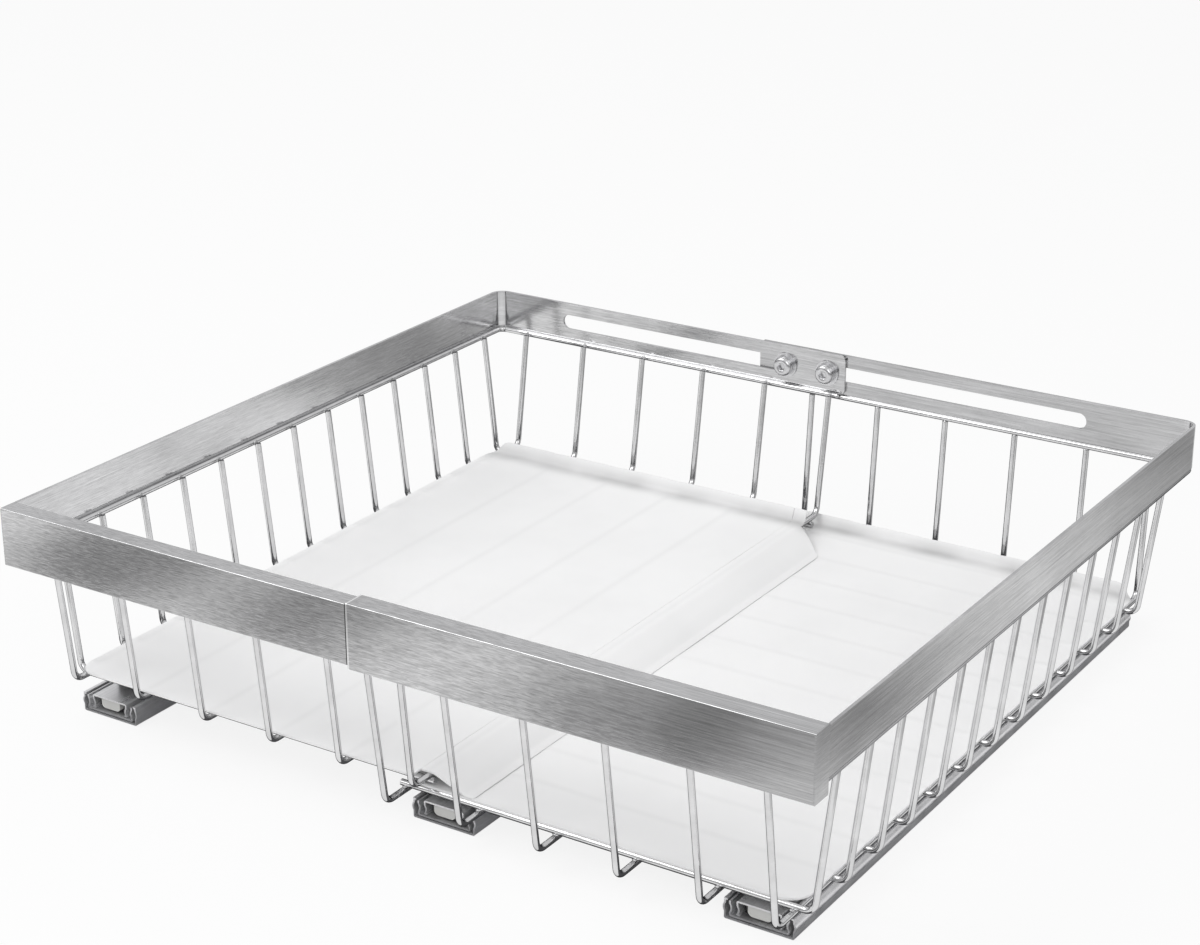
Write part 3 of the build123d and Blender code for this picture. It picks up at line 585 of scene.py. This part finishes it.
# ---- pieces ------------------------------------------------------------------
class BASKET_OT_finishes(bpy.types.Operator):
    """Give every piece that the frame holds its own finish"""

    bl_idname = "basket.finishes"
    bl_label = "Finishes"

    def execute(self, context):
        metal, plastic = context.scene.basket_metal, context.scene.basket_plastic
        bar, strip = tuple(metal.bar), tuple(metal.strip)
        darker = tuple(c * 0.86 for c in strip)
        sleeve_end = float(span("right_front_sleeve")[0][0])
        finishes = {
            # the bar's seam line is painted shade in the gap at the sleeve's mouth
            "left_front_bar": brushed_steel(
                "brushed_bar", bar, "X", 1.0, joint=(sleeve_end - 0.9 * MM, (0.03, 0.03, 0.03))
            ),
            # the sleeve's seam line is a painted highlight along its mouth
            "right_front_sleeve": brushed_steel(
                "brushed_sleeve", bar, "X", 2.0, straight_from=0.1,
                joint=(sleeve_end + 0.5 * MM, (0.9, 0.9, 0.9)),
            ),
            "left_bar_end_cap": brushed_steel("brushed_left_cap", bar, "X", 5.0),
            "right_sleeve_end_cap": brushed_steel("brushed_right_cap", bar, "XY", 6.0, 0.7),
            "left_rim_strip": brushed_steel("brushed_left_strip", strip, "XY", 3.0, 0.6),
            "right_rim_strip": brushed_steel("brushed_right_strip", darker, "XY", 4.0, 0.75),
        }
        wire = drawn_wire("polished_wire", tuple(metal.wire))
        screw = rolled_steel("turned_steel", tuple(metal.screw), rough=0.2)
        for half in HALVES:
            for part in ("rim_rod", "u_wires", "side_wires"):
                finishes[f"{half}_{part}"] = wire
            finishes[f"{half}_clamp_washers"] = screw
        carrier = rolled_steel("mill_steel", tuple(metal.carrier), 3.0, 0.3, 0.8)
        zinc = rolled_steel("zinc_steel", tuple(metal.rail), 1.0, 0.26, 0.78)
        cage = rolled_steel("ball_strip_steel", (0.5, 0.5, 0.5), 2.0)
        ball = drawn_wire("ball_steel", (0.7, 0.7, 0.7))
        block = moulded_plastic("black_block", tuple(plastic.block))
        tab = moulded_plastic("grey_tab", tuple(plastic.tab))
        for slide in SLIDES:
            finishes[f"{slide}_carrier"] = carrier
            for rail in ("outer_rail", "middle_rail", "inner_rail"):
                finishes[f"{slide}_{rail}"] = zinc
            for row in ("outer", "inner"):
                finishes[f"{slide}_{row}_cages"] = cage
                finishes[f"{slide}_{row}_balls"] = ball
            finishes[f"{slide}_stop_block"] = block
            finishes[f"{slide}_release_tab"] = tab
        for node, finish in finishes.items():
            dress(NODES[node], finish)
        return {"FINISHED"}


class BASKET_OT_liners(bpy.types.Operator):
    """Frosted floor sheets that lie on the wires, with a lip turned up along the back"""

    bl_idname = "basket.liners"
    bl_label = "Liners"

    def execute(self, context):
        plastic = context.scene.basket_plastic
        for half in HALVES:
            material = frosted_sheet(f"frosted_{half}", tuple(plastic.sheet))
            points, faces, masks = (left_sheet if half == "left" else right_sheet)(plastic)
            piece = make_mesh(
                f"{half}_floor_sheet", points, faces, f"{half}_basket", "frosted_plastic",
                f"{half}_liner", **masks,
            )
            dress(piece, material)
        return {"FINISHED"}


def sheet_rows(front, back_foot, lip, step):
    """Lengths along a sheet from its front edge up its lip: close together at both ends."""
    length = back_foot - front
    even = np.arange(EDGE_ZONE, length - EDGE_ZONE, step)
    near = EDGE_ZONE * (1 - np.cos(np.linspace(0, np.pi / 2, 9)[:-1]))
    far = np.linspace(length - EDGE_ZONE, length + lip, 26)
    return np.concatenate([near, even, far])


def fold_shade(rows, foot):
    """Band of painted shade along a lip's bend: a bell curve over the rows, a little before the
    lip's foot.
    """
    width, before = FOLD_SHADE
    return np.exp(-(((rows - foot + before) / width) ** 2))[:, None]


def floor_sheet(x0, x1, front, foot, height, along, across, plastic, columns, step, lip, left):
    """One sheet: flat on the wires, a lip that leans back, and rounded corners.

    x = x0 + inset + s (x1 - x0 - insets) with the corners' insets at that row, on the left
    sheet only at its outer side; y and z follow the bent profile; the thickness has a ridge
    over each wire, dimples at the side wires' places along the outer edge and a slow wave.
    """
    length, turn = math.hypot(*lip), math.atan2(lip[1], lip[0])
    s = sheet_rows(front, foot, length, step)
    run, rise = bent_profile(s, [(foot - front - LIP_BEND_SET, turn, LIP_BEND_R)])
    inset = corner_inset(np.minimum(run, run[-1] - run), plastic.corner)[:, None]
    part = np.linspace(0, 1, columns)[None, :]
    x = x0 + inset + part * (x1 - x0 - inset * (1 if left else 2))
    y = front + run[:, None] + 0 * x
    fold = np.clip(rise / lip[1], 0, 1)[:, None]
    press = ridges(x, along, 6 * MM) * fold * 0.7 * MM
    under = np.stack([x, y - press, height + rise[:, None] + 0 * x], -1)
    ridge = ridges(x, along, 2.4 * MM) if left else ridges(y, across, 2.6 * MM)
    flat = 1 - np.clip(fold * 4, 0, 1)
    row = ridges(y, across, 2.2 * MM)
    outer = x - x0 if left else x1 - x
    edge = np.exp(-(((outer - 7 * MM) / (3.2 * MM)) ** 2))
    dimple = row * (edge + 0.2 * np.exp(-outer / (45 * MM)))
    wave = np.sin(x * 71 + 1.3) * np.sin(y * 53) + 0.6 * np.sin(x * 31 - y * 47)
    extra = plastic.ridge * ridge + plastic.dimple * dimple + plastic.sag * wave
    points = thicken(under, SHEET_T + extra * flat)
    # masks that paint shade: over each wire, and in the lip's bend
    shade = fold_shade(s, foot - front) + 0 * x
    masks = {"wire": np.stack([ridge * flat] * 2), "fold": np.stack([shade] * 2)}
    return points, sheet_faces(len(s), columns), masks


def left_sheet(plastic):
    """The upper sheet, and its flap: over the last wire, down a slope and on to the lower sheet.

    The flap's underside is the sum of the slope's fall along x and the lip's rise along y;
    its rear corner is cut back to the last wire in a curve, s up to total (d / cut) ** 0.7
    with d counted from the lip's foot.
    """
    along, across, long_z, _ = wire_places("left")
    low, high = span("left_liner")
    right_low, _ = span("right_liner")
    height = long_z + WIRE_R + 0.05 * MM
    seam = along[-1] - SEAM_TO_WIRE
    foot = high[1] - LIP_LEAN
    lip = (LIP_LEAN, LEFT_LIP_RISE)
    points, faces, masks = floor_sheet(
        low[0], seam - SEAM_GAP, low[1], foot, height, along, across, plastic, 150, 2.2 * MM,
        lip, True,
    )
    drop = height - low[2] - FLAP_CLEARANCE
    slope = math.atan2(drop, FLAP_SLOPE_RUN)
    crest = along[-1] + FLAP_CREST - seam
    fall = drop / math.sin(slope)
    total = crest + fall + FLAP_TAIL
    lengths = np.linspace(0, total, 400)
    bends = [(crest, -slope, FLAP_BEND_R), (crest + fall, slope, FLAP_BEND_R)]
    run, rise = bent_profile(lengths, bends)
    rows = sheet_rows(right_low[1], foot, math.hypot(*lip), 3.4 * MM)
    place = foot - right_low[1] - LIP_BEND_SET
    back, climb = bent_profile(rows, [(place, math.atan2(lip[1], lip[0]), LIP_BEND_R)])
    cut = np.clip((place - 2 * MM - back) / FLAP_CUT, 0, 1) ** 0.7
    width = np.maximum(total * cut, FLAP_NARROW)
    s = width[:, None] * np.linspace(0, 1, 46)[None, :]
    x = seam + SEAM_GAP + np.interp(s, lengths, run)
    y = right_low[1] + back[:, None] + 0 * x
    under = np.stack([x, y, height + np.interp(s, lengths, rise) + climb[:, None]], -1)
    taper = np.clip((total - s) / FLAP_TAPER, 0, 1)
    thick = plastic.flap_end + (SHEET_T - plastic.flap_end) * taper
    ridge = ridges(x, along[-1:], 2.4 * MM) * (1 - np.clip(climb / (2 * MM), 0, 1))[:, None]
    flap = thicken(under, thick + plastic.ridge * ridge)
    # masks that paint shade over the last wire and in the lip's bend
    extra = {"wire": ridge, "fold": fold_shade(rows, place) + 0 * x}
    both = {
        key: np.concatenate([np.ravel(masks[key]), np.ravel(extra[key]), np.ravel(extra[key])])
        for key in masks
    }
    return [points, flap], [faces, sheet_faces(*x.shape, start=len(points))], both


def right_sheet(plastic):
    """The lower sheet, with faint raised bands over the wires that run across, darkened by painted
    shade.
    """
    along, across, _, _ = wire_places("right")
    low, high = span("right_liner")
    points, faces, masks = floor_sheet(
        low[0], high[0], low[1], high[1] - LIP_LEAN, low[2], along, across, plastic, 90, 1.7 * MM,
        (LIP_LEAN, RIGHT_LIP_RISE), False,
    )
    return [points], [faces], masks


class BASKET_OT_welds(bpy.types.Operator):
    """Weld beads where wires cross and where their ends meet the rods and the bars"""

    bl_idname = "basket.welds"
    bl_label = "Welds"

    def execute(self, context):
        bead = context.scene.basket_fasteners.bead
        metal = context.scene.basket_metal
        material = rolled_steel("weld_steel", tuple(c * 0.85 for c in metal.wire), 7.0, 0.24)
        for half in HALVES:
            along, across, long_z, cross_z = wire_places(half)
            side = -1 if half == "left" else 1
            rod_low, rod_high = span(f"{half}_rim_rod")
            u_low, _ = span(f"{half}_u_wires")
            bar = "left_front_bar" if half == "left" else "right_front_sleeve"
            bar_z = span(bar)[0][2]
            rod_z = (rod_low[2] + rod_high[2]) / 2
            x, y = (grid.ravel() for grid in np.meshgrid(along, across))
            crossings = np.stack([x, y, np.full(x.size, (long_z + cross_z) / 2)], 1)
            rod_x = (rod_low[0] if side < 0 else rod_high[0]) - side * WIRE_R
            tops = np.stack([
                np.full(across.size, rod_x - side * WIRE_R), across, np.full(across.size, rod_z),
            ], 1)
            front = np.stack([
                along, np.full(along.size, u_low[1] + WIRE_R + 0.3 * MM),
                np.full(along.size, bar_z - 0.5 * MM),
            ], 1)
            rod_y = rod_high[1] - WIRE_R
            if half == "left":
                rear_y, rear_z = rod_y - WIRE_R, rod_z
                rear_size = (1.9 * MM, 0.8 * MM, 2.0 * MM)
            else:
                rear_y, rear_z = rod_y, rod_z - WIRE_R
                rear_size = (1.9 * MM, 1.9 * MM, 0.8 * MM)
            rear = np.stack([along, np.full(along.size, rear_y), np.full(along.size, rear_z)], 1)
            sizes = np.concatenate([
                np.tile((bead, bead, bead * 0.42), (len(crossings), 1)),
                np.tile((0.8 * MM, 1.9 * MM, 1.9 * MM), (len(tops), 1)),
                np.tile((2.5 * MM, 2.3 * MM, 0.7 * MM), (len(front), 1)),
                np.tile(rear_size, (len(rear), 1)),
            ])
            points, faces = beads(np.concatenate([crossings, tops, front, rear]), sizes)
            piece = make_mesh(
                f"{half}_weld_beads", [points], faces, f"{half}_basket", "polished_wire"
            )
            dress(piece, material)
        return {"FINISHED"}


class BASKET_OT_screws(bpy.types.Operator):
    """Round-headed clamp screws with a hexagon socket and a cut thread"""

    bl_idname = "basket.screws"
    bl_label = "Clamp screws"

    def execute(self, context):
        sizes = context.scene.basket_fasteners
        material = rolled_steel("screw_steel", tuple(context.scene.basket_metal.screw), 4.0, 0.16)
        for half in HALVES:
            low, high = span(f"{half}_clamp_screw")
            centre = (low[0] + high[0]) / 2, (low[2] + high[2]) / 2
            points, faces = screw_surface(sizes, low[1], high[1], centre)
            piece = make_mesh(
                f"{half}_round_head_screw", points, faces, f"{half}_clamp", "screw_steel",
                f"{half}_clamp_screw",
            )
            dress(piece, material)
        return {"FINISHED"}


def screw_surface(sizes, front, tip, centre, columns=72):
    """Socket, domed head and thread as one stack of rings along Y.

    The socket's rings are hexagons; the head is a quarter circle of 2.6 mm; the thread's
    radius is r - depth (0.5 - 0.5 cos(2 pi y / pitch - a)), less a bevel at the tip.
    """
    angle = np.linspace(0, 2 * np.pi, columns, endpoint=False)[None, :]
    hexa = hexagon(angle, sizes.socket)
    one = np.ones((1, columns))
    bend = np.linspace(0, np.pi / 2, 12)[:, None]
    radius = [hexa * 0.94, hexa, hexa, hexa * 0.4 + 2.05 * MM, one * 4.3 * MM]
    along = [2.8, 2.6, 0.35, 0.03, 0.0]
    radius.append((4.4 + 2.6 * np.sin(bend)) * MM * one)
    along.extend((2.6 * (1 - np.cos(bend[:, 0]))).tolist())
    radius.extend([one * HEAD_R, one * 6.75 * MM, one * 4.1 * MM])
    along.extend([4.1, 4.4, 4.4])
    shank_start = HEAD_DEPTH + 0.05 * MM
    shank = np.arange(shank_start, tip - front - 0.02 * MM, sizes.pitch / 8)[:, None]
    wave = sizes.thread * (0.5 - 0.5 * np.cos(2 * np.pi * shank / sizes.pitch - angle))
    bevel = np.clip(shank - (tip - front - 0.9 * MM), 0, None)
    radius.append(SHANK_R - np.maximum(wave, bevel))
    y = front + np.concatenate([np.array(along) * MM, shank[:, 0]])
    rings = turned(np.concatenate(radius), y, centre)
    x, z = centre
    poles = np.array([[x, front + 3.0 * MM, z], [x, tip, z]])
    return [rings, poles], capped_faces(*rings.shape[:2])


class BASKET_OT_nuts(bpy.types.Operator):
    """Hexagon nuts with bevelled corners behind the back plates"""

    bl_idname = "basket.nuts"
    bl_label = "Clamp nuts"

    def execute(self, context):
        sizes = context.scene.basket_fasteners
        material = rolled_steel("nut_steel", tuple(context.scene.basket_metal.screw), 5.0, 0.2)
        for half in HALVES:
            low, high = span(f"{half}_clamp_nut")
            centre = (low[0] + high[0]) / 2, (low[2] + high[2]) / 2
            points, faces = nut_surface(sizes, high[1] - low[1], low[1], centre)
            piece = make_mesh(
                f"{half}_hexagon_nut", points, faces, f"{half}_basket", "screw_steel",
                f"{half}_clamp_nut",
            )
            dress(piece, material)
        return {"FINISHED"}


def nut_surface(sizes, height, front, centre, columns=72):
    """Nut as rings that close on themselves: bore, face, six flats and the other face.

    At depth y from a face the outside is the lesser of the hexagon and 6.3 mm + 1.73 y.
    """
    angle = np.linspace(0, 2 * np.pi, columns, endpoint=False)[None, :]
    hexa = hexagon(angle, sizes.nut)
    one = np.ones((1, columns))
    depth = np.linspace(0, 0.75 * MM, 6)[:, None]
    rise = np.minimum(hexa, 6.3 * MM + 1.73 * depth)
    bore, mouth = one * NUT_BORE_R, one * (NUT_BORE_R + NUT_CHAMFER)
    radius = np.concatenate([mouth, rise, rise[::-1], mouth, bore, bore])
    along = np.concatenate([
        [0], depth[:, 0], height - depth[::-1, 0], [height], [height - NUT_CHAMFER, NUT_CHAMFER],
    ])
    rings = turned(radius, front + along, centre)
    faces = grid_faces(*radius.shape, close_rows=True, close_columns=True)
    return [rings], [faces]


# ---- stage -------------------------------------------------------------------
def plane(name, x0, x1, y0, y1, z):
    """A flat rectangle of the stage."""
    corners = np.array([[x0, y0, z], [x1, y0, z], [x1, y1, z], [x0, y1, z]])
    piece = make_mesh(name, [corners], [np.array([[0, 1, 2, 3]])], smooth=False)
    return piece


def studio_floor(colour):
    """Pale floor that keeps the shadow; for glossy rays it glows in soft broad bands, painted
    reflections for the steel.
    """
    material, m = new_maker("studio_floor")
    diffuse = m.make("ShaderNodeBsdfDiffuse", None, {"Color": colour})
    rays = m.make("ShaderNodeLightPath", output="Is Camera Ray")
    gloss = m.make("ShaderNodeLightPath", output="Is Glossy Ray")
    through = m.make("ShaderNodeLightPath", output="Is Transmission Ray")
    place = m.make("ShaderNodeTexCoord", output="Object")
    x = m.make("ShaderNodeSeparateXYZ", None, [place], output="X")
    y = m.make("ShaderNodeSeparateXYZ", None, [place], output="Y")
    front = environment_ramp(m, x, FRONT_REFLECTION_BANDS)
    side = environment_ramp(m, y, SIDE_REFLECTION_BANDS)
    back = environment_ramp(m, y, BACK_REFLECTION_BANDS)
    seen = m.mix(y.scaled(-0.43, -0.45), back, front)
    seen = m.mix(x.scaled(0.368, 0.38), seen, side)
    seen = m.mix(gloss, (1, 1, 1), seen)
    glow = m.make("ShaderNodeEmission", None, {"Color": seen, "Strength": 1.0})
    white = (rays + gloss + through).clamp() * 0.86
    m.output(m.make("ShaderNodeMixShader", None, [white, diffuse, glow]))
    return material


class BASKET_OT_stage(bpy.types.Operator):
    """Pale floor, soft lamps, studio sky and the camera"""

    bl_idname = "basket.stage"
    bl_label = "Stage"

    def execute(self, context):
        scene, settings = context.scene, context.scene.basket_stage
        dress(plane("floor", -9, 9, -9, 9, -0.5 * MM), studio_floor(tuple(settings.floor)))
        shade = plane("shade_under_basket", *SHADE_CARD)
        for ray in ("camera", "diffuse", "transmission", "volume_scatter", "shadow"):
            setattr(shade, f"visible_{ray}", False)
        material, m = new_maker("shade_card")
        m.output(m.make("ShaderNodeEmission", None, {"Color": (0.1, 0.1, 0.105), "Strength": 1.0}))
        dress(shade, material)
        world = bpy.data.worlds.new("studio")
        scene.world = world
        w = Maker(world)
        direction = w.make("ShaderNodeTexCoord", output="Generated")
        height = w.make("ShaderNodeSeparateXYZ", None, [direction], output="Z")
        sky = w.make("ShaderNodeValToRGB", {"ramp": SKY_BANDS}, [height])
        w.output(w.make("ShaderNodeBackground", None, {"Color": sky, "Strength": settings.sky}))
        lamps = (
            ("key", (-1.4, -1.2, 2.2), 1.8, settings.key),
            ("fill", (1.6, -1.6, 1.7), 1.6, settings.fill),
        )
        for name, place, size, power in lamps:
            light = bpy.data.lights.new(name, "AREA")
            light.size = size
            light.energy = power
            lamp = bpy.data.objects.new(name, light)
            aim = (Vector((0, 0, 0.05)) - Vector(place)).to_track_quat("-Z", "Y")
            lamp.matrix_world = Matrix.Translation(place) @ aim.to_matrix().to_4x4()
            scene.collection.objects.link(lamp)
        data = bpy.data.cameras.new("camera")
        data.lens = CAMERA_LENS
        data.sensor_width = 36.0
        data.clip_end = 60.0
        camera = bpy.data.objects.new("camera", data)
        azimuth, elevation, roll = (math.radians(angle) for angle in CAMERA_ANGLES)
        look = Vector((-math.sin(azimuth) * math.cos(elevation),
                       math.cos(azimuth) * math.cos(elevation), -math.sin(elevation)))
        turn = look.to_track_quat("-Z", "Y").to_matrix().to_4x4()
        camera.matrix_world = (
            Matrix.Translation(CAMERA_PLACE) @ turn @ Matrix.Rotation(roll, 4, "Z")
        )
        scene.collection.objects.link(camera)
        scene.camera = camera
        scene.view_settings.view_transform = "Standard"
        return {"FINISHED"}


class BASKET_PT_panel(bpy.types.Panel):
    """Settings and makers of the basket"""

    bl_idname = "BASKET_PT_panel"
    bl_label = "Basket"
    bl_space_type = "VIEW_3D"
    bl_region_type = "UI"
    bl_category = "Basket"

    def draw(self, context):
        for name, group in GROUPS.items():
            box = self.layout.box()
            for key in group.__annotations__:
                box.prop(getattr(context.scene, name), key)
        for operator in OPERATORS:
            self.layout.operator(operator.bl_idname)


GROUPS = {
    "basket_metal": BasketMetal,
    "basket_plastic": BasketPlastic,
    "basket_fasteners": BasketFasteners,
    "basket_stage": BasketStage,
}
OPERATORS = (
    BASKET_OT_finishes,
    BASKET_OT_liners,
    BASKET_OT_welds,
    BASKET_OT_screws,
    BASKET_OT_nuts,
    BASKET_OT_stage,
)
CLASSES = (*GROUPS.values(), *OPERATORS, BASKET_PT_panel)


def register():
    """Register the classes and hang the settings on the scene."""
    for cls in CLASSES:
        bpy.utils.register_class(cls)
    for name, group in GROUPS.items():
        setattr(bpy.types.Scene, name, PointerProperty(type=group))


def unregister():
    """Take the settings and the classes away again."""
    for name in GROUPS:
        delattr(bpy.types.Scene, name)
    for cls in reversed(CLASSES):
        bpy.utils.unregister_class(cls)


def main():
    """Make every piece."""
    register()
    bpy.ops.basket.finishes()
    bpy.ops.basket.liners()
    bpy.ops.basket.welds()
    bpy.ops.basket.screws()
    bpy.ops.basket.nuts()
    bpy.ops.basket.stage()


if __name__ == "__main__":
    main()
